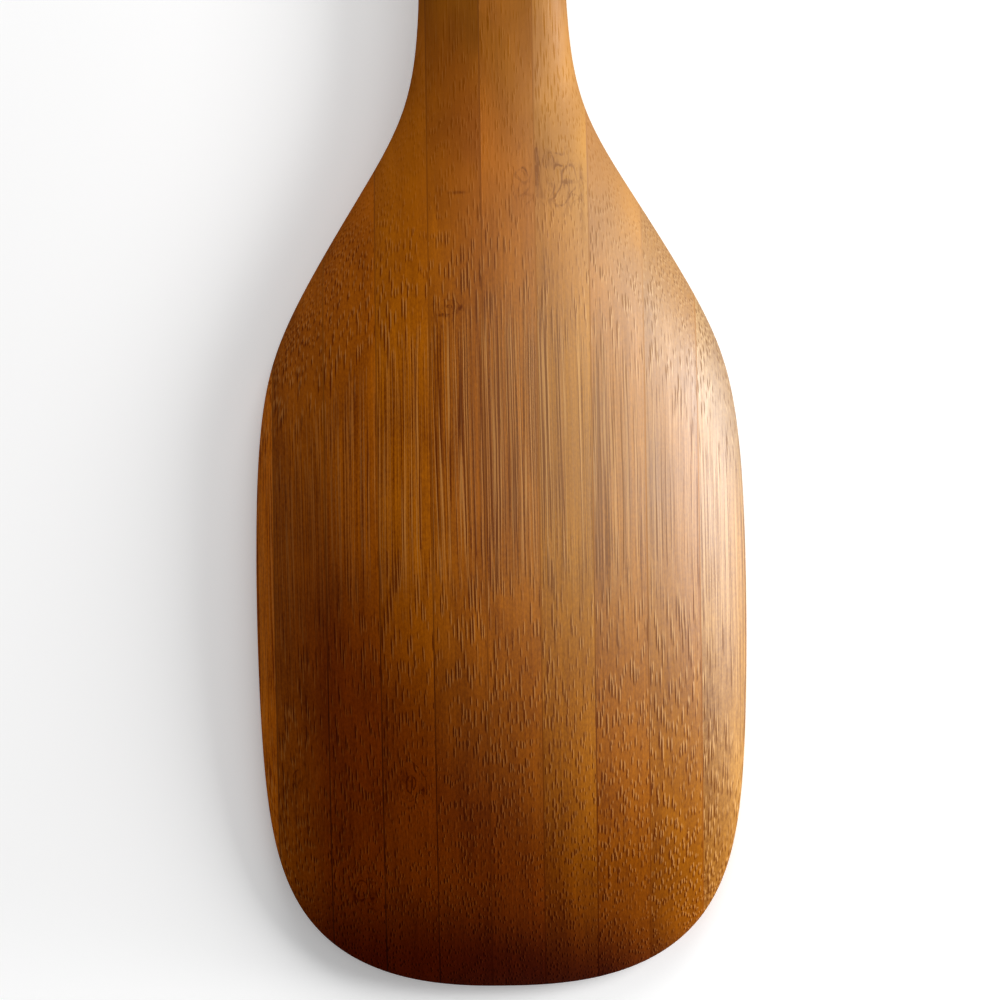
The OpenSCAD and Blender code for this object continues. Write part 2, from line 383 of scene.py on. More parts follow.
@dataclass
class Planform:
    """The spoon from above, cut into triangles that follow its outline, its bowl and its seams."""

    form: SpoonForm
    seams: list[float]
    step: float = 0.9
    outline_step: float = 0.6
    # Points that a curve is measured with, and the corners of the hole
    curve_n: int = 4000
    hole_n: int = 64
    # Lines that follow the outline, the bowl's edge and the hole, closer where the form turns fast
    outline_gaps: tuple[float, ...] = (0.03, 0.11, 0.25, 0.45, 0.72, 1.05, 1.45, 1.95, 2.6, 3.4)
    bowl_gaps: tuple[float, ...] = (
        -0.7, -0.25, 0.0, 0.1, 0.2, 0.32, 0.46, 0.62, 0.82, 1.1, 1.45, 1.9, 2.5
    )
    hole_gaps: tuple[float, ...] = (0.0, 0.04, 0.12, 0.22, 0.34, 0.5, 0.9)
    # How far the even grid keeps from the outside of the bowl's edge
    bowl_clear: float = 1.2
    # How far a seam's line runs past the ends, and two distances that count as none
    overrun: float = 1.0
    same_place: float = 1e-6
    hole_slack: float = 0.01
    points: Array = field(default_factory=lambda: np.zeros((0, 2)))
    triangles: Array = field(default_factory=lambda: np.zeros((0, 3), int))

    def loop(self, half_w: Array, places: Array) -> tuple[Array, Array]:
        """Makes an even closed line from half widths.

        Args:
            half_w: Half the width at each place.
            places: Places along the spoon, from the first to the last.

        Returns:
            The points and their outward directions.
        """
        right = np.column_stack([half_w, places])
        line = np.vstack([right, right[-2:0:-1] * (-1, 1), right[:1]])
        run = np.concatenate([[0], np.cumsum(np.hypot(*np.diff(line, axis=0).T))])
        at = np.linspace(0, run[-1], int(run[-1] / self.outline_step) + 1)[:-1]
        points = np.column_stack([np.interp(at, run, line[:, k]) for k in (0, 1)])
        ahead = np.roll(points, -1, axis=0) - np.roll(points, 1, axis=0)
        out = np.column_stack([ahead[:, 1], -ahead[:, 0]])
        return points, out / np.hypot(*out.T)[:, None]

    def lines(self) -> list[Array]:
        """Collects all closed lines that the triangles follow.

        Returns:
            A list of closed lines.
        """
        f = self.form
        turn = 1 - np.cos(np.linspace(0, math.pi / 2, self.curve_n))
        end = f.length - f.handle_round
        middle = np.linspace(f.head_mid, end, self.curve_n)[1:]
        handle = (f.length - f.handle_round * turn)[::-1][1:]
        places = np.concatenate([f.head_mid * turn, middle, handle])
        points, out = self.loop(f.half_w(places), places)
        made = [points] + [points - out * gap for gap in self.outline_gaps]
        first = f.rim_w + (f.head_mid - f.rim_w) * turn
        rear = f.bowl_end - (f.bowl_end - f.head_mid) * turn
        places = np.concatenate([first, rear[::-1][1:]])
        points, out = self.loop(f.bowl_half_w(places), places)
        made += [points - out * gap for gap in self.bowl_gaps]
        angles = np.linspace(0, 2 * math.pi, self.hole_n + 1)[:-1]
        ring = np.column_stack([np.sin(angles), np.cos(angles)])
        return made + [ring * (f.hole_r + gap) + (0, f.hole_place) for gap in self.hole_gaps]

    def build(self) -> None:
        """Cuts the planform into triangles."""
        f, step = self.form, self.step
        closed = self.lines()
        points = [p for line in closed for p in line]
        edges, start = [], 0
        for line in closed:
            n = len(line)
            edges += [(start + i, start + (i + 1) % n) for i in range(n)]
            start += n
        for x in self.seams:
            places = np.arange(-self.overrun, f.length + self.overrun + step, step)
            edges += [(len(points) + i, len(points) + i + 1) for i in range(len(places) - 1)]
            points += [(x, l) for l in places]
        rows = np.arange(0, f.length, step * math.sqrt(3) / 2)
        row = np.arange(-f.head_w / 2, f.head_w / 2, step)
        grid = np.array([(x + step / 2 * (i % 2), l) for i, l in enumerate(rows) for x in row])
        # Points keep clear of the lines, so that no triangle gets thin
        x, l = np.abs(grid[:, 0]), grid[:, 1]
        deep = f.edge_gap(x, l) > self.outline_gaps[-1] + step / 2
        near_bowl = (x < f.bowl_half_w(l) + self.bowl_clear) & ~self.is_deep_in_bowl(x, l)
        near_seam = np.min(np.abs(grid[:, :1] - np.array(self.seams)), axis=1) < step / 2
        near_hole = np.hypot(x, l - f.hole_place) < f.hole_r + self.hole_gaps[-1] + step / 2
        points += [tuple(p) for p in grid[deep & ~near_bowl & ~near_seam & ~near_hole]]
        corners = [Vector((float(a), float(b))) for a, b in points]
        made = delaunay_2d_cdt(corners, edges, [], 0, self.same_place)
        self.points = np.array([tuple(p) for p in made[0]])
        self.triangles = np.array([face for face in made[2] if len(face) == 3])
        x, l = self.points[self.triangles].mean(axis=1).T
        is_in = np.abs(x) < f.half_w(l)
        is_in &= np.hypot(x, l - f.hole_place) > f.hole_r - self.hole_slack
        self.triangles = self.triangles[is_in]

    def is_deep_in_bowl(self, x: Array, l: Array) -> Array:
        """Tells which places are farther inside the bowl's edge than its close lines.

        Args:
            x: Distances from the centre line.
            l: Distances from the tip.

        Returns:
            One truth value for each place.
        """
        f = self.form
        gap = self.bowl_gaps[-1] + self.step / 2
        ahead = np.minimum(f.bowl_half_w(l - gap), f.bowl_half_w(l + gap))
        return (x < f.bowl_half_w(l) - gap) & (x < ahead)


class Tone(Enum):
    """How dark the steam treatment left a stave: its pale ground and its dark fibre colour."""

    DARK = ("#a85603", "#652702")
    MID = ("#b05d04", "#6c2c02")
    LIGHT = ("#b46405", "#703003")
    PALE = ("#ae6820", "#72380c")


class Skin(Enum):
    """On which side of a stave the dense outer wall of the bamboo cane lies."""

    LEFT = -1
    RIGHT = 1


@dataclass(frozen=True)
class Streaks:
    """A pattern drawn out along the fibres.

    It has a width and a length in millimetres, a number of finer layers, and a weight in how
    dark the wood is.
    """

    width: float
    length: float
    detail: float = 1.0
    weight: float = 1.0


@dataclass(frozen=True)
class Knuckle:
    """A place where the cane had a node, so that its fibres swirl: centre and reach."""

    x: float
    l: float
    reach_x: float = 2.4
    reach_l: float = 4.5
    # Below 0 the place is paler than the wood around it
    strength: float = 1.0
    # 0 leaves it to blots, rings and curved lines, and 1 fills the whole place
    fill: float = 0.0


@dataclass(frozen=True)
class KnuckleFigure:
    """How the swirled fibres of a knuckle show after sanding, the same in every stave."""

    # How far the fibres shiver everywhere, and how far a large knuckle pushes them aside
    shiver: float = 0.1
    push: float = 1.1
    # Where a knuckle begins and where it is full, in shares of its reach
    edge: tuple[float, float] = (1.0, 0.1)
    # Blots are 0.6 mm wide and 2 mm long
    blot_scale: Place = (1.6, 0.5, 1.6)
    blot_detail: float = 3.0
    blot_bend: float = 1.2
    blots: Ramp = (0.56, 0.7, 0.0, 0.6)
    # Fibres run around the middle in a few thin rings, which waver over 2 mm and break off
    waver_scale: Place = (0.5, 0.22, 0.5)
    ring_turns: float = 16.0
    rings: Ramp = (0.72, 1.0, 0.0, 1.0)
    ring_breaks: Ramp = (0.42, 0.56, 0.1, 1.0)
    # Fibres that swirl around the blots show as thin curved lines
    swirl: Ramp = (0.03, 0.01, 0.0, 0.6)
    # A filled mark is made of dark fibres with a few paler ones between them
    filled: Ramp = (0.4, 0.56, 0.35, 1.0)

    def add(
        self, add: Adder, place: Socket, knuckles: tuple[Knuckle, ...]
    ) -> tuple[Socket | float, Socket | float]:
        """Adds the swirl, the dark blots and the thin rings of a stave's knuckles.

        Args:
            add: Adds a node to the material.
            place: Position in millimetres.
            knuckles: The stave's knuckles.

        Returns:
            How far the fibres are pushed aside, in millimetres, and how dark the marks are.
        """
        pushed: Socket | float = self.shiver
        marks: Socket | float = 0.0
        if not knuckles:
            return pushed, marks
        spots = add(VECTOR, (place, self.blot_scale), operation="MULTIPLY")
        look = {"Detail": self.blot_detail, "Distortion": self.blot_bend}
        spots = add(NOISE, {"Vector": spots, "Scale": 1.0, **look})
        waver = add(VECTOR, (place, self.waver_scale), operation="MULTIPLY")
        waver = add(NOISE, {"Vector": waver, "Scale": 1.0, "Detail": 0.0})
        swirl = add(MATHS, (waver, NOISE_MEAN), operation="SUBTRACT")
        swirl = add(MATHS, (swirl,), operation="ABSOLUTE")
        blots, broken, filled, swirl = (
            add(RAMP, (value, *ramp))
            for value, ramp in (
                (spots, self.blots),
                (spots, self.ring_breaks),
                (spots, self.filled),
                (swirl, self.swirl),
            )
        )
        for knuckle in knuckles:
            centre = (knuckle.x, knuckle.l - SpoonForm.length / 2, 0)
            gap = add(VECTOR, (place, centre), operation="SUBTRACT")
            reach = (1 / knuckle.reach_x, 1 / knuckle.reach_l, 0)
            gap = add(VECTOR, (gap, reach), operation="MULTIPLY")
            gap = add(VECTOR, (gap,), out="Value", operation="LENGTH")
            near = add(RAMP, (gap, *self.edge, 0.0, knuckle.strength), interpolation_type=SOFT)
            # Only the large knuckles push the fibres beside them aside
            push = self.push if knuckle.fill == 0 else 0.0
            pushed = add(MATHS, (near, push, pushed), operation="MULTIPLY_ADD")
            rings = add(MATHS, (waver, self.ring_turns), operation="MULTIPLY")
            rings = add(MATHS, (gap, self.ring_turns, rings), operation="MULTIPLY_ADD")
            rings = add(MATHS, (rings,), operation="SINE")
            rings = add(RAMP, (rings, *self.rings))
            mark = add(MATHS, (rings, broken), operation="MULTIPLY")
            full = add(MATHS, (filled, knuckle.fill), operation="MULTIPLY")
            for other in (blots, swirl, full):
                mark = add(MATHS, (mark, other), operation="MAXIMUM")
            marks = add(MATHS, (near, mark, marks), operation="MULTIPLY_ADD")
        return pushed, marks


@dataclass(frozen=True)
class AgeingAndPaintedLight:
    """Tints over the whole board, whatever the stave: a darker tip and painted light and shade.

    The tip is darker, and more so on the left, partly by its own darker wood and end grain and
    partly by painted shade. The left edge is painted lighter, as by light thrown up from the
    table.
    The right side is painted paler and yellower as sheen, the right of the neck is painted darker
    as shade, and a pale patch of painted sheen lies on the right of the crest.
    """

    # The tip is darker, partly by its own darker wood and partly by painted shade: how much
    # farther up it starts for each millimetre to the left
    slant: float = 1.2
    tip_darkening_reach: tuple[float, float] = (48.0, 13.0)
    tip_darkening_and_shade: Colour = (0.47, 0.29, 0.15, 1)
    # At the left edge the darker tip is weak: painted light, as thrown up by the pale table
    edge_bounce_light: Ramp = (-22.0, -30.5, 1.0, 0.12)
    # The last millimetres of the tip are nearly end grain and darker still, partly by that and
    # partly by painted shade, and less so on the right
    end_from: float = -4.0
    end_slant: float = 0.25
    end_reach: tuple[float, float] = (14.0, 2.0)
    end_grain_and_shade: Colour = (0.45, 0.24, 0.15, 1)
    # Painted sheen: the right side is paler and yellower, as where the light falls, and it starts
    # farther right towards the tip
    sheen_tint_from: float = 52.0
    sheen_tint_slant: float = 0.55
    sheen_tint_reach: tuple[float, float] = (22.6, 48.6)
    painted_sheen_tint: Colour = (1.0, 1.28, 2.0, 1)
    # Painted shade on the neck, which reaches farther down on the right shoulder
    neck_shade_slant: float = 1.6
    neck_shade_reach: tuple[float, float] = (103.0, 119.0)
    painted_neck_shade: Colour = (0.73, 0.8, 0.94, 1)
    # A pale patch of painted sheen on the right of the crest: centre, reach, share and colour
    sheen_patch_centre: tuple[float, float] = (14.5, 79.0)
    sheen_patch_reach: tuple[float, float] = (24.0, 58.0)
    sheen_patch_share: float = 0.34
    painted_sheen_patch: str = "#c09a6c"

    def add(self, add: Adder, x: Socket, l: Socket, colour: Socket) -> Socket:
        """Adds the darker tip and the painted light and shade to a material.

        Args:
            add: Adds a node to the material.
            x: Places across the spoon.
            l: Distances from the tip.
            colour: The colour of the new material.

        Returns:
            The colour of the aged material.
        """
        sheen_tint_at = add(MATHS, (l, self.sheen_tint_from), operation="MINIMUM")
        end = add(MATHS, (x, self.end_from), operation="MAXIMUM")
        tip_darkened, painted_neck_shade, sheen_tint_at, end = (
            add(MATHS, (slanted, slant, level), operation="MULTIPLY_ADD")
            for slanted, slant, level in (
                (x, self.slant, l),
                (x, self.neck_shade_slant, l),
                (sheen_tint_at, self.sheen_tint_slant, x),
                (end, self.end_slant, l),
            )
        )
        for at, reach, tint, most in (
            (tip_darkened, self.tip_darkening_reach, self.tip_darkening_and_shade, add(RAMP, (x, *self.edge_bounce_light))),
            (end, self.end_reach, self.end_grain_and_shade, 1.0),
            (sheen_tint_at, self.sheen_tint_reach, self.painted_sheen_tint, 1.0),
            (painted_neck_shade, self.neck_shade_reach, self.painted_neck_shade, 1.0),
        ):
            share = add(RAMP, (at, *reach, 0.0, most), interpolation_type=SOFT)
            left = add(MIX, {FACTOR: share, FIRST: WHITE, SECOND: tint}, MIXED, data_type="RGBA")
            colour = add(VECTOR, (colour, left), operation="MULTIPLY")
        # The pale patch of painted sheen
        spot = add("ShaderNodeCombineXYZ", (x, l))
        spot = add(VECTOR, (spot, (*self.sheen_patch_centre, 0)), operation="SUBTRACT")
        reach = (*(1 / r for r in self.sheen_patch_reach), 1)
        spot = add(VECTOR, (spot, reach), operation="MULTIPLY")
        spot = add(VECTOR, (spot,), out="Value", operation="LENGTH")
        spot = add(RAMP, (spot, 1.0, 0.0, 0.0, self.sheen_patch_share), interpolation_type=SOFT)
        painted_sheen_patch = {FACTOR: spot, FIRST: colour, SECOND: from_srgb(self.painted_sheen_patch)}
        return add(MIX, painted_sheen_patch, MIXED, data_type="RGBA")


@dataclass(frozen=True)
class CarbonisedBamboo:
    """Carbonised bamboo, sanded along the grain and oiled.

    Steam turned the sugars brown, the sander cut through the long fibre bundles, and the oil left
    a satin skin. Along the grain the cut bundles show as fine dark streaks, and as short dark
    strokes where the surface slopes. The hard bundles stand a little proud, and each has a pale
    fleck to its right, partly pale tissue and partly a painted highlight on its lit side.
    """

    tone: Tone
    skin: Skin
    seed: float
    left: float
    right: float
    # How light the stave is within its tone, and how yellow
    shade: float = 1.0
    golden: float = 1.0
    knuckles: tuple[Knuckle, ...] = ()
    figure: KnuckleFigure = KnuckleFigure()
    ageing_and_painted_light: AgeingAndPaintedLight = AgeingAndPaintedLight()
    # Distance between fibre bundles in the wall of the cane, the radius of one, how much deeper
    # than wide it is, and how far it strays from its row
    bundle_pitch: float = 0.38
    bundle_r: float = 0.085
    bundle_deep: float = 1.4
    bundle_stray: float = 0.9
    # Bundles get thicker towards the skin, each has its own size, and their edges are soft
    bundle_swell: Ramp = (0.0, 1.0, 0.8, 1.15)
    bundle_luck: Ramp = (0.0, 1.0, 0.45, 1.35)
    bundle_edge: Ramp = (1.35, 0.6, 0.0, 1.0)
    # How far to the right the pale fleck lies beside the dark bundle, its colour and its share; it
    # is partly pale sheath tissue and partly a painted highlight on the bundle's lit side
    sheath_highlight_gap: float = 0.14
    sheath_and_highlight: str = "#d89a52"
    sheath_highlight_share: float = 0.42
    # Bundles stand in crowds about 3 mm wide, with plain wood between them
    crowds: Streaks = Streaks(2.6, 6.0)
    crowded: Ramp = (0.36, 0.52, 0.4, 1.15)
    # Fine fibres between the bundles, soft streaks, broad bands and patches
    fibres: Streaks = Streaks(0.15, 34.0, 2.0)
    soft: Streaks = Streaks(0.5, 25.0, 2.0, 0.5)
    bands: Streaks = Streaks(2.0, 60.0, 1.0, 0.5)
    patches: Streaks = Streaks(3.5, 9.0, 1.0, 0.7)
    # Sanding dust in the oil, as specks
    specks: Streaks = Streaks(0.22, 0.5, 1.0, 0.8)
    # Where the face lies along the fibres, a cut bundle is a long thin dark line with a bright
    # one beside it
    cuts: Streaks = Streaks(0.45, 110.0, 1.2, 0.8)
    cut_levels: tuple[float, float] = (0.485, 0.545)
    cut_edge: tuple[float, float] = (0.036, 0.01)
    # The cane's layers lie flat, so that streaks are this much deeper than wide
    layer_deep: float = 7.0
    # The fibres lean against the staves' sides by a third of a degree
    lean: float = 0.006
    # Bundles wander by about 1 mm over 60 mm, and shiver over 5 mm
    wander_scale: Place = (0.09, 0.016, 0.09)
    wander: Place = (1.0, 0.0, 1.0)
    shiver_scale: Place = (0.7, 0.2, 0.7)
    # How far apart in the cane two neighbouring staves were cut, in millimetres
    seed_step: Place = (0.0, 37.0, 11.0)
    # Bundles show as strokes from a slope of 1 in 50 on, and in full at 1 in 10
    strokes: Ramp = (0.02, 0.1, 0.45, 1.0)
    # Sloping faces cut the fine fibres short, so that the ground is even there
    fibres_shown: Ramp = (0.45, 1.0, 1.1, 0.5)
    cuts_shown: Ramp = (0.45, 0.9, 1.0, 0.0)
    cuts_level: Ramp = (0.12, 0.4, 1.0, 0.45)
    # Oil evened out the left of the board
    oily: Ramp = (-22.0, -6.0, 0.72, 1.0)
    # The neck was sanded finer than the head, so that its pattern is calm
    calm: Ramp = (84.0, 102.0, 1.0, 0.2)
    # What the patterns add up to on plain wood of the head, and what is left of it on the neck
    plain_level: float = 0.9
    calm_level: float = -0.09
    skin_weight: float = 0.1
    mark_weight: float = 0.9
    darkest: tuple[float, float] = (-0.4, 1.0)
    # How far the hard bundles, the soft streaks and the fine fibres stand proud after sanding
    proud: float = 0.006
    soft_proud: float = 0.03
    fibre_proud: float = 0.008
    roughness: float = 0.55
    # The middle part of a noise, and how much the roughness differs over it
    noise_reach: tuple[float, float] = (0.3, 0.7)
    rough_spread: float = 0.05
    # Open vessels in the dark wood take no polish
    open_wood: Ramp = (0.0, 1.0, 1.0, 0.25)
    # The head was oiled more often than the neck, its tip is worn, and the right side is hazier
    oiled: Ramp = (85.0, 118.0, 0.85, 0.5)
    tip_worn: Ramp = (16.0, 62.0, 0.08, 1.1)
    hazy: Ramp = (-10.0, 28.0, 0.05, 1.6)
    # Refractive index of dried linseed oil
    ior: float = 1.48
    # Fibres spread the gloss sideways
    anisotropy: float = 0.6

    def make(self, name: str) -> bpy.types.Material:
        """Makes the material.

        Args:
            name: The material's name.

        Returns:
            The material.
        """
        material, add = new_material(name)
        place, x, y, l = add_places(add)
        stirred, marks = self.figure.add(add, place, self.knuckles)
        grain = self.add_grain(add, place, y, stirred)
        sizes = self.crowds, self.fibres, self.soft, self.bands, self.specks, self.patches
        streaks = [self.add_streaks(add, grain, size) for size in (*sizes, self.cuts)]
        crowd, fibre, soft, band, speck, patch, cut = streaks

        # Position across the stave, 0 at the inner wall of the cane and 1 at its skin
        ends = (self.left, self.right) if self.skin is Skin.RIGHT else (self.right, self.left)
        depth = add(RAMP, (x, *ends))
        crowd = add(RAMP, (crowd, *self.crowded))
        core, sheath_and_highlight = (
            add(MATHS, (self.add_bundles(add, grain, depth, shift), crowd), operation="MULTIPLY")
            for shift in (0.0, self.sheath_highlight_gap)
        )

        # Short strokes show only where the face slopes and cuts the bundles off
        normal = add("ShaderNodeTexCoord", out="Normal")
        slope = add("ShaderNodeSeparateXYZ", (normal,), out="Y")
        tilt = add(MATHS, (slope.node.outputs["X"],), operation="ABSOLUTE")
        slope = add(MATHS, (slope,), operation="ABSOLUTE")
        stroke = add(RAMP, (slope, *self.strokes), interpolation_type=SOFT)
        oily = add(RAMP, (x, *self.oily))
        calm = add(RAMP, (l, *self.calm))
        shown = add(RAMP, (stroke, *self.fibres_shown))
        fine = add(MATHS, (fibre, NOISE_MEAN), operation="SUBTRACT")
        fine = add(MATHS, (fine, shown), operation="MULTIPLY")
        flat = add(RAMP, (stroke, *self.cuts_shown))
        level = add(RAMP, (tilt, *self.cuts_level))
        flat = add(MATHS, (flat, level), operation="MULTIPLY")
        lines = []
        for level in self.cut_levels:
            far = add(MATHS, (cut, level), operation="SUBTRACT")
            far = add(MATHS, (far,), operation="ABSOLUTE")
            line = (far, *self.cut_edge, 0.0, flat)
            lines.append(add(RAMP, line, interpolation_type=SOFT))

        # Where the pale fleck shows: partly pale tissue, partly a painted highlight on each
        # bundle's lit side
        bright = add(MATHS, (core, -1.0, sheath_and_highlight), operation="MULTIPLY_ADD", use_clamp=True)
        for operation, value in (
            ("MULTIPLY", stroke),
            ("MULTIPLY", oily),
            ("MAXIMUM", lines[1]),
            ("MULTIPLY", calm),
            ("MULTIPLY", self.sheath_highlight_share),
        ):
            bright = add(MATHS, (bright, value), operation=operation)
        dark = add(MATHS, (core, stroke), operation="MULTIPLY")
        dark = add(MATHS, (dark, oily), operation="MULTIPLY")
        dark = add(MATHS, (lines[0], self.cuts.weight, dark), operation="MULTIPLY_ADD")
        open_wood = add(MATHS, (dark, marks), operation="ADD")
        open_wood = add(RAMP, (open_wood, *self.open_wood))
        parts = (fine, self.fibres), (soft, self.soft), (band, self.bands), (speck, self.specks)
        for value, size in parts:
            dark = add(MATHS, (value, size.weight, dark), operation="MULTIPLY_ADD")
        dark = add(MATHS, (dark, self.plain_level), operation="SUBTRACT")
        dark = add(MATHS, (dark, calm, self.calm_level), operation="MULTIPLY_ADD")
        parts = (patch, self.patches.weight), (depth, self.skin_weight), (marks, self.mark_weight)
        for value, weight in parts:
            dark = add(MATHS, (value, weight, dark), operation="MULTIPLY_ADD")
        dark = add("ShaderNodeClamp", (dark, *self.darkest))
        ground, strand = (self.shaded(text) for text in self.tone.value)
        colour = {FACTOR: dark, FIRST: ground, SECOND: strand}
        colour = add(MIX, colour, MIXED, data_type="RGBA", clamp_factor=False)
        colour = {FACTOR: bright, FIRST: colour, SECOND: from_srgb(self.sheath_and_highlight)}
        colour = add(MIX, colour, MIXED, data_type="RGBA")
        # The darker tip, partly painted shade, and the painted sheen and shade over the board
        colour = self.ageing_and_painted_light.add(add, x, l, colour)

        relief = add(MATHS, (fibre, self.fibre_proud), operation="MULTIPLY")
        parts = (soft, self.soft_proud), (lines[1], self.proud / 2), (core, self.proud)
        for value, height in parts:
            relief = add(MATHS, (value, height, relief), operation="MULTIPLY_ADD")
        bump = add("ShaderNodeBump", {"Strength": 1.0, "Distance": MM, "Height": relief})
        rough = [self.roughness + side * self.rough_spread for side in (-1, 1)]
        rough = add(RAMP, (fibre, *self.noise_reach, *rough))
        gloss = add(RAMP, (l, *self.oiled))
        tip_worn = add(RAMP, (l, *self.tip_worn))
        for factor in (tip_worn, add(RAMP, (x, *self.hazy)), open_wood):
            gloss = add(MATHS, (gloss, factor), operation="MULTIPLY")
        # Fibres lie along Y, and the gloss spreads at right angles to them
        tangent = add(VECTOR, (normal, (0, -1, 0)), operation="CROSS_PRODUCT")
        look = {
            "Base Color": colour,
            "Roughness": rough,
            "IOR": self.ior,
            "Specular IOR Level": gloss,
            "Anisotropic": self.anisotropy,
            "Tangent": tangent,
            "Normal": bump,
        }
        add("ShaderNodeOutputMaterial", (add("ShaderNodeBsdfPrincipled", look),))
        return material

    def shaded(self, text: str) -> Colour:
        """Colour of the tone, with the stave's own shade."""
        red, green, blue, alpha = from_srgb(text)
        other = self.shade * self.golden
        return (red * self.shade, green * other, blue * other, alpha)

    def add_streaks(self, add: Adder, grain: Socket, streaks: Streaks) -> Socket:
        """Adds noise that is drawn out along the fibres.

        Args:
            add: Adds a node to the material.
            grain: The place in the straight cane.
            streaks: The size of the streaks.

        Returns:
            Values around 0.5.
        """
        width = streaks.width
        scale = (1 / width, 1 / streaks.length, 1 / (width * self.layer_deep))
        drawn = add(VECTOR, (grain, scale), operation="MULTIPLY")
        return add(NOISE, {"Vector": drawn, "Scale": 1.0, "Detail": streaks.detail})

    def add_grain(self, add: Adder, place: Socket, y: Socket, stirred: Socket | float) -> Socket:
        """Adds the run of the fibres.

        Args:
            add: Adds a node to the material.
            place: Position in millimetres.
            y: The Y of the position.
            stirred: How far the fibres are pushed aside, in millimetres.

        Returns:
            The place in the straight cane that each place of the stave shows.
        """
        seeded = tuple(self.seed * step for step in self.seed_step)
        grain = seeded = add(VECTOR, (place, seeded), operation="ADD")
        noises = []
        for scale, detail in ((self.wander_scale, 1.0), (self.shiver_scale, 2.0)):
            noise = add(VECTOR, (seeded, scale), operation="MULTIPLY")
            noise = add(NOISE, {"Vector": noise, "Scale": 1.0, "Detail": detail}, out="Color")
            noises.append(add(VECTOR, (noise, (-NOISE_MEAN,) * 3), operation="ADD"))
        slow = add(VECTOR, (noises[0], self.wander), operation="MULTIPLY")
        quick = add(VECTOR, {0: noises[1], "Scale": stirred}, operation="SCALE")
        leaning = add(MATHS, (y, self.lean), operation="MULTIPLY")
        for push in (slow, quick, add("ShaderNodeCombineXYZ", (leaning,))):
            grain = add(VECTOR, (grain, push), operation="ADD")
        return grain

    def add_bundles(self, add: Adder, grain: Socket, depth: Socket, shift: float) -> Socket:
        """Adds the fibre bundles, which run along Y as a flat pattern of cells in X and Z.

        Args:
            add: Adds a node to the material.
            grain: The place in the straight cane.
            depth: Position across the stave, 0 at the inner wall of the cane and 1 at its skin.
            shift: How far to the right of the bundles' own places they are drawn.

        Returns:
            1 in the bundles and 0 between them.
        """
        pitch = self.bundle_pitch
        across = add("ShaderNodeSeparateXYZ", (grain,))
        deep = across.node.outputs[2]
        across = add(MATHS, (across, shift), operation="SUBTRACT")
        flat = add("ShaderNodeCombineXYZ", (across, deep))
        size = (1 / pitch, 1 / (pitch * self.bundle_deep), 0)
        flat = add(VECTOR, (flat, size), operation="MULTIPLY")
        cells = {"Vector": flat, "Scale": 1.0, "Randomness": self.bundle_stray}
        cells = add("ShaderNodeTexVoronoi", cells, voronoi_dimensions="2D")
        luck = add("ShaderNodeSeparateColor", (cells.node.outputs["Color"],))
        radius = add(RAMP, (depth, *self.bundle_swell))
        for factor in (add(RAMP, (luck, *self.bundle_luck)), self.bundle_r / pitch):
            radius = add(MATHS, (radius, factor), operation="MULTIPLY")
        far = add(MATHS, (cells, radius), operation="DIVIDE")
        return add(RAMP, (far, *self.bundle_edge), interpolation_type=SOFT)


@dataclass(frozen=True)
class CuredGlue:
    """Cured wood glue in a joint, sanded flush. It takes up no oil and stays a thin dark line."""

    # How much the line differs from the wood beside it, at the tip and up to the shoulders
    fullness: tuple[float, float] = (0.6, 0.2)
    # Bare wood beside the line took up more oil towards the tip, which shows the line
    fullness_reach: tuple[float, float] = (42.0, 62.0)
    # The line is fuller where the staves met less closely, over about 12 mm
    gap_scale: Place = (0.4, 0.08, 0.4)
    gap_detail: float = 3.0
    gap: Ramp = (0.3, 0.6, 0.35, 1.0)
    wood: str = "#94500d"
    resin: str = "#551f04"
    ageing_and_painted_light: AgeingAndPaintedLight = AgeingAndPaintedLight()
    roughness: float = 0.55
    # Wood dust dulls the resin, and the tip is worn dull
    gloss: float = 0.2
    tip_gloss: float = 0.02
    tip_reach: tuple[float, float] = (16.0, 62.0)
    # Refractive index of cured urea resin
    ior: float = 1.5

    def make(self, name: str) -> bpy.types.Material:
        """Makes the material.

        Args:
            name: The material's name.

        Returns:
            The material.
        """
        material, add = new_material(name)
        place, x, _, l = add_places(add)
        noise = add(VECTOR, (place, self.gap_scale), operation="MULTIPLY")
        noise = add(NOISE, {"Vector": noise, "Scale": 1.0, "Detail": self.gap_detail})
        share = add(RAMP, (noise, *self.gap))
        full = add(RAMP, (l, *self.fullness_reach, *self.fullness))
        share = add(MATHS, (share, full), operation="MULTIPLY")
        wood, resin = from_srgb(self.wood), from_srgb(self.resin)
        colour = {FACTOR: share, FIRST: wood, SECOND: resin}
        colour = add(MIX, colour, MIXED, data_type="RGBA")
        # The glue takes the same darker tip and painted sheen and shade as the wood
        look = {
            "Base Color": self.ageing_and_painted_light.add(add, x, l, colour),
            "Roughness": self.roughness,
            "IOR": self.ior,
            "Specular IOR Level": add(RAMP, (l, *self.tip_reach, self.tip_gloss, self.gloss)),
        }
        add("ShaderNodeOutputMaterial", (add("ShaderNodeBsdfPrincipled", look),))
        return material


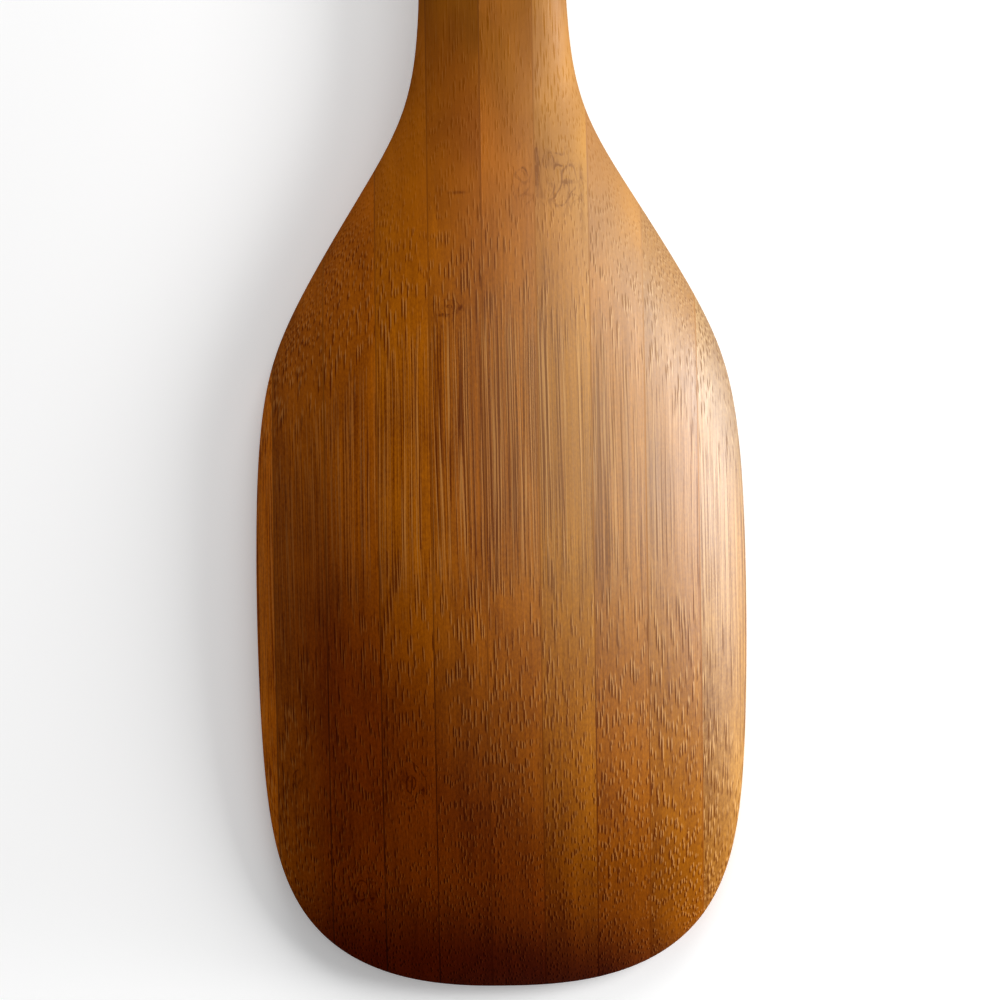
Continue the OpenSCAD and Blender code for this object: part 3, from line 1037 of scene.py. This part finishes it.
@dataclass(frozen=True)
class MattPaper:
    """White matt paper, the table under the spoon, rough enough to show a shadow and no gloss."""

    # Share of the light that white paper sends back, and what is left of it in the spoon's gloss
    albedo: float = 0.72
    in_gloss: float = 0.04
    roughness: float = 0.3
    # White added to what the camera sees of the table
    white_level: float = 0.18

    def make(self, name: str) -> bpy.types.Material:
        """Makes the material, which looks white to the camera and lights the spoon as paper does.

        Args:
            name: The material's name.

        Returns:
            The material.
        """
        material, add = new_material(name)
        path = add("ShaderNodeLightPath", out="Is Camera Ray")
        glossy = path.node.outputs["Is Glossy Ray"]
        albedo = add(RAMP, (glossy, 0.0, 1.0, self.albedo, self.in_gloss))
        paper = add("ShaderNodeBsdfDiffuse", {"Color": albedo, "Roughness": self.roughness})
        bright = add("ShaderNodeBsdfDiffuse", {"Color": WHITE})
        white = add("ShaderNodeEmission", {"Strength": self.white_level})
        backdrop = add("ShaderNodeAddShader", (bright, white))
        shader = add("ShaderNodeMixShader", (path, paper, backdrop))
        add("ShaderNodeOutputMaterial", (shader,))
        return material


@dataclass(frozen=True)
class StaveLook:
    """How one stave differs from its neighbours."""

    tone: Tone
    skin: Skin
    shade: float = 1.0
    golden: float = 1.0
    knuckles: tuple[Knuckle, ...] = ()

    def finish(self, seed: float, left: float, right: float) -> CarbonisedBamboo:
        """Gives the stave's finish.

        Args:
            seed: A number of the stave's own, which makes its grain.
            left: Its left side.
            right: Its right side.

        Returns:
            The finish.
        """
        return CarbonisedBamboo(
            self.tone, self.skin, seed, left, right, self.shade, self.golden, self.knuckles
        )


@dataclass
class Board:
    """The board of staves and glue lines, carved to the spoon's form."""

    form: SpoonForm = field(default_factory=SpoonForm)
    stave_w: float = 6.67
    seam_offset: float = 1.8
    glue_t: float = 0.16
    left_n: int = 4
    right_n: int = 4
    plan: Planform | None = None
    # Points this near the outline lie on it
    outline_slack: float = 1e-3
    # Looks of the staves, from the left of the head to its right
    looks: tuple[StaveLook, ...] = (
        # The outermost left stave is much lighter, partly by its own tone and partly by painted
        # light, as thrown up by the pale table
        StaveLook(Tone.MID, Skin.RIGHT, 1.5, 1.0),
        StaveLook(Tone.DARK, Skin.LEFT, 1.03, 1.02, (Knuckle(-26.0, 27.0, 2.0, 3.5, 0.8),)),
        StaveLook(Tone.DARK, Skin.LEFT, 1.16, 1.04, (
            Knuckle(-18.0, 13.0, 3.2, 6.0, 1.0),
            Knuckle(-17.0, 12.0, 0.8, 2.2, 0.9, 0.5),
        )),
        StaveLook(Tone.MID, Skin.LEFT, 1.08, 1.08, (
            Knuckle(-11.5, 26.4, 3.2, 4.2, 1.3),
            Knuckle(-12.4, 27.2, 0.9, 1.3, 1.0, 0.6),
            Knuckle(-10.0, 25.4, 0.6, 1.0, 1.0, 0.6),
        )),
        StaveLook(Tone.MID, Skin.RIGHT, 0.94, 1.07, (
            Knuckle(-5.8, 85.6, 2.6, 1.8, 0.7),
            Knuckle(-6.6, 84.5, 1.1, 0.4, 1.0, 0.8),
            Knuckle(-4.5, 85.4, 0.55, 0.6, 1.0, 0.8),
            Knuckle(-4.7, 99.8, 1.9, 0.35, 0.8, 0.7),
            Knuckle(-7.6, 96.0, 0.7, 6.5, -0.45, 1.0),
        )),
        StaveLook(Tone.MID, Skin.LEFT, 1.0, 1.1, (Knuckle(3.4, 102.0, 2.2, 6.5, 0.7),)),
        StaveLook(Tone.LIGHT, Skin.LEFT, 0.97, 1.13, (
            Knuckle(8.0, 101.0, 3.9, 6.4, 1.1),
            Knuckle(5.2, 102.6, 0.5, 4.6, 1.5, 0.8),
            Knuckle(6.8, 103.6, 1.1, 1.6, 1.1, 0.6),
            Knuckle(9.2, 101.0, 1.8, 0.4, 1.0, 0.7),
            Knuckle(10.7, 98.5, 0.5, 8.0, 1.2, 0.5),
        )),
        StaveLook(Tone.MID, Skin.LEFT, 0.9, 1.1),
        StaveLook(Tone.LIGHT, Skin.LEFT, 0.73, 1.03),
        # The rightmost stave's pale yellow tone is partly its own and partly painted sheen
        StaveLook(Tone.PALE, Skin.LEFT, 0.83, 1.11, (Knuckle(25.0, 12.5, 2.5, 4.0, 0.6),)),
    )
    # How full each glue line is, from left to right, at the tip and up to the shoulders
    glue_fullness: tuple[tuple[float, float], ...] = (
        (0.4, 0.15), (0.8, 0.25), (0.9, 0.25), (0.8, 0.3), (0.3, 0.35),
        (0.4, 0.15), (0.75, 0.3), (0.7, 0.2), (0.5, 0.15),
    )
    # The hazy right side shows the glue's gloss more: its gloss in the middle, what each
    # millimetre to the right adds, and its least and most
    glue_gloss: float = 0.15
    glue_gloss_rise: float = 0.015
    glue_gloss_reach: tuple[float, float] = (0.03, 0.5)

    def build(self, slots: dict[str, str]) -> None:
        """Builds and dresses every stave and every glue line.

        Args:
            slots: The record's material slot of each CAD node.
        """
        half = self.glue_t / 2
        order = range(-self.left_n, self.right_n + 1)
        seams = [i * self.stave_w - self.seam_offset for i in order]
        self.plan = Planform(self.form, [x + side for x in seams for side in (-half, half)])
        self.plan.build()
        counts = len(self.plan.points), len(self.plan.triangles)
        LOG.info("planform: %d points, %d triangles", *counts)
        edge = self.form.head_w / 2
        lefts = [-edge] + [x + half for x in seams]
        rights = [x - half for x in seams] + [edge]
        for k, (xa, xb, look) in enumerate(zip(lefts, rights, self.looks)):
            i = k - self.left_n - 1
            node = f"stave_left_{-i}" if i < 0 else f"stave_right_{i + 1}"
            title = f"Carbonised bamboo, oiled, {node.replace('_', ' ')}"
            material = look.finish(float(k), xa, xb).make(title)
            self.add_piece(node, f"{node}_wood", xa, xb, material, slots[node])
        least, most = self.glue_gloss_reach
        for i, x, fullness in zip(order, seams, self.glue_fullness):
            node = f"glue_left_{-i}" if i < 0 else f"glue_right_{i}" if i > 0 else "glue_middle"
            gloss = min(most, max(least, self.glue_gloss + self.glue_gloss_rise * x))
            title = f"Cured wood glue, sanded flush, {node.replace('_', ' ')}"
            material = CuredGlue(fullness, gloss=gloss).make(title)
            self.add_piece(node, f"{node}_film", x - half, x + half, material, slots[node])

    def add_piece(
        self, node: str, name: str, xa: float, xb: float, material: bpy.types.Material, slot: str
    ) -> None:
        """Builds the strip of the spoon between two planes, and lets it stand for its CAD node.

        Args:
            node: The CAD node's name.
            name: The strip's own name.
            xa: The strip's left side.
            xb: Its right side.
            material: Its material.
            slot: The record's material slot; not used.
        """
        plan, form = self.plan, self.form
        middle = plan.points[plan.triangles].mean(axis=1)[:, 0]
        chosen = plan.triangles[(middle > xa) & (middle < xb)]
        used, flat = np.unique(chosen, return_inverse=True)
        flat = flat.reshape(-1, 3)
        x, l = plan.points[used].T
        n = len(used)
        a, b, c = (plan.points[used][flat[:, k]] for k in range(3))
        ab, ac = (b - a).T, (c - a).T
        turned = ab[0] * ac[1] - ab[1] * ac[0] < 0
        flat[turned] = flat[turned][:, ::-1]
        # Sides that only one triangle has are the strip's border
        sides = {tuple(side) for pair in ((0, 1), (1, 2), (2, 0)) for side in flat[:, pair]}
        border = [side for side in sides if side[::-1] not in sides]
        on_outline = np.abs(x) > form.half_w(l) - self.outline_slack
        back = form.back_z(x, l)
        front = form.front_z(x, l)
        level = (back + front) / 2
        back[on_outline] = front[on_outline] = level[on_outline]
        under = np.where(on_outline, np.arange(n), np.arange(n) + n)
        border = [(p, q) for p, q in border if not (on_outline[p] and on_outline[q])]
        walls = [[q, p, under[p], under[q]] for p, q in border]
        walls = [[v for i, v in enumerate(w) if v != w[i - 1]] for w in walls]
        xyz = [np.column_stack([x, l - form.length / 2, z]) for z in (back, front)]
        faces = flat.tolist() + under[flat[:, ::-1]].tolist() + walls
        mesh = bpy.data.meshes.new(node)
        mesh.from_pydata((np.vstack(xyz) * MM).tolist(), [], faces)
        mesh.shade_smooth()
        pairs = [pair for p, q in border for pair in ((p, q), (under[p], under[q]))]
        hard = {frozenset(pair) for pair in pairs}
        flags = np.array([frozenset(e.vertices) in hard for e in mesh.edges])
        sharp = mesh.attributes.new("sharp_edge", "BOOLEAN", "EDGE")
        sharp.data.foreach_set("value", flags)
        mesh.materials.append(material)
        piece = bpy.data.objects.new(name, mesh)
        bpy.context.scene.collection.objects.link(piece)
        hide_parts(node)
        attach(piece, "root")
        LOG.info("%s: %d faces", piece.name, len(mesh.polygons))


@dataclass(frozen=True)
class SoftPanel:
    """A soft light with a flat face, turned to the spoon."""

    name: str
    # Direction in degrees: turn from the spoon's right side to its handle, rise over the table
    turn: float
    rise: float
    # Width and height in metres, and the distance from the spoon
    size: tuple[float, float]
    # Part of the table's light that this panel gives
    share: float
    # Whether the spoon's gloss shows it, or only a low light as in the photograph
    in_gloss: bool = True
    far: float = 1.0

    def build(self, aim: Vector) -> None:
        """Puts the lamp in its place.

        Args:
            aim: The point that it faces.
        """
        turn, rise = math.radians(self.turn), math.radians(self.rise)
        flat = math.cos(rise)
        way = Vector((math.cos(turn) * flat, math.sin(turn) * flat, math.sin(rise)))
        lamp = bpy.data.lights.new(self.name, "AREA")
        lamp.shape = "RECTANGLE"
        lamp.size, lamp.size_y = self.size
        # White paper that gets this much light shows the panel's share of white
        lamp.energy = self.share * (math.pi * self.far) ** 2 / math.sin(rise)
        holder = bpy.data.objects.new(self.name, lamp)
        holder.location = aim + way * self.far
        holder.rotation_mode = "QUATERNION"
        holder.rotation_quaternion = way.to_track_quat("Z", "Y")
        holder.visible_glossy = self.in_gloss
        bpy.context.scene.collection.objects.link(holder)


@dataclass
class Studio:
    """The pale table, the soft panels and the dim even light of the room."""

    # Size of the table and the point that the panels face, in metres
    table_size: float = 6.0
    aim: Place = (0.0, -0.08, 0.0)
    panels: tuple[SoftPanel, ...] = (
        SoftPanel("low_side_panel", turn=5, rise=6.5, size=(0.5, 0.17), share=0.16),
        SoftPanel("side_panel", turn=20, rise=28, size=(0.5, 0.4), share=0.33, in_gloss=False),
        SoftPanel("rear_panel", turn=80, rise=24, size=(0.6, 0.5), share=0.21),
    )
    room_level: float = 0.3
    # What is left of the room in the spoon's gloss
    room_gloss: float = 0.01

    def build(self) -> None:
        """Builds the table, the lights and the room."""
        half = self.table_size / 2
        corners = [(-half, -half, 0), (half, -half, 0), (half, half, 0), (-half, half, 0)]
        mesh = bpy.data.meshes.new("table")
        mesh.from_pydata(corners, [], [(0, 1, 2, 3)])
        mesh.materials.append(MattPaper().make("White matt paper"))
        table = bpy.data.objects.new("table", mesh)
        bpy.context.scene.collection.objects.link(table)
        table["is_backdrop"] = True
        for panel in self.panels:
            panel.build(Vector(self.aim))
        self.light_room()
        LOG.info("studio: table, %d panels and room", len(self.panels))

    def light_room(self) -> None:
        """Gives the room a dim even light: white to the camera, and dark walls to the gloss."""
        world = bpy.data.worlds.new("room")
        world.use_nodes = True
        world.node_tree.nodes.clear()
        add = partial(add_node, world.node_tree)
        path = add("ShaderNodeLightPath", out="Is Camera Ray")
        glossy = path.node.outputs["Is Glossy Ray"]
        dim, dark, white = (
            add("ShaderNodeBackground", (WHITE, level))
            for level in (self.room_level, self.room_gloss, 1.0)
        )
        both = add("ShaderNodeMixShader", (glossy, dim, dark))
        both = add("ShaderNodeMixShader", (path, both, white))
        add("ShaderNodeOutputWorld", (both,))
        bpy.context.scene.world = world


@dataclass
class OverheadCamera:
    """The camera of the photograph: straight above the head, with a long lens."""

    # Width of the table that the picture shows, in millimetres
    shown_w: float = 126.53
    # Point under the middle of the picture
    centre: tuple[float, float] = (0.0, -88.5)
    # Height at which the shown width is measured, which is that of the spoon's edge
    level: float = 2.5
    # The spoon leans a little to the left in the picture
    roll: float = -0.88
    lens: float = 200.0
    sensor: float = 36.0
    # The nearest thing shown, as a share of the distance, and the farthest in metres
    near_share: float = 0.1
    farthest: float = 20.0

    def build(self) -> None:
        """Makes the camera and sets it as the scene's."""
        data = bpy.data.cameras.new("overhead")
        data.lens = self.lens
        data.sensor_width = self.sensor
        away = self.shown_w * self.lens / self.sensor
        data.clip_start, data.clip_end = away * MM * self.near_share, self.farthest
        camera = bpy.data.objects.new("overhead", data)
        camera.location = Vector((*self.centre, away + self.level)) * MM
        camera.rotation_euler = (0, 0, math.radians(self.roll))
        bpy.context.scene.collection.objects.link(camera)
        bpy.context.scene.camera = camera
        LOG.info("camera: %.3f m above the table", camera.location.z)


def write_sizes(cad: tuple[Vector, Vector]) -> None:
    """Works out the box of the dressed spoon beside the CAD box, and keeps neither.

    Args:
        cad: Lowest and highest corner right after loading.
    """
    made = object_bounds()
    [[list(corner) for corner in box] for box in (cad, made)]


def main() -> None:
    """Builds the spoon, the studio and the camera."""
    logging.basicConfig(level=logging.INFO, format="%(name)s: %(message)s")
    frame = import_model()
    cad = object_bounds()
    slots = {row["node"]: row["material_slot"] for row in frame["record"]["subparts"]}
    Board().build(slots)
    Studio().build()
    OverheadCamera().build()
    bpy.context.scene.view_settings.view_transform = "Standard"
    write_sizes(cad)


if __name__ == "__main__":
    main()
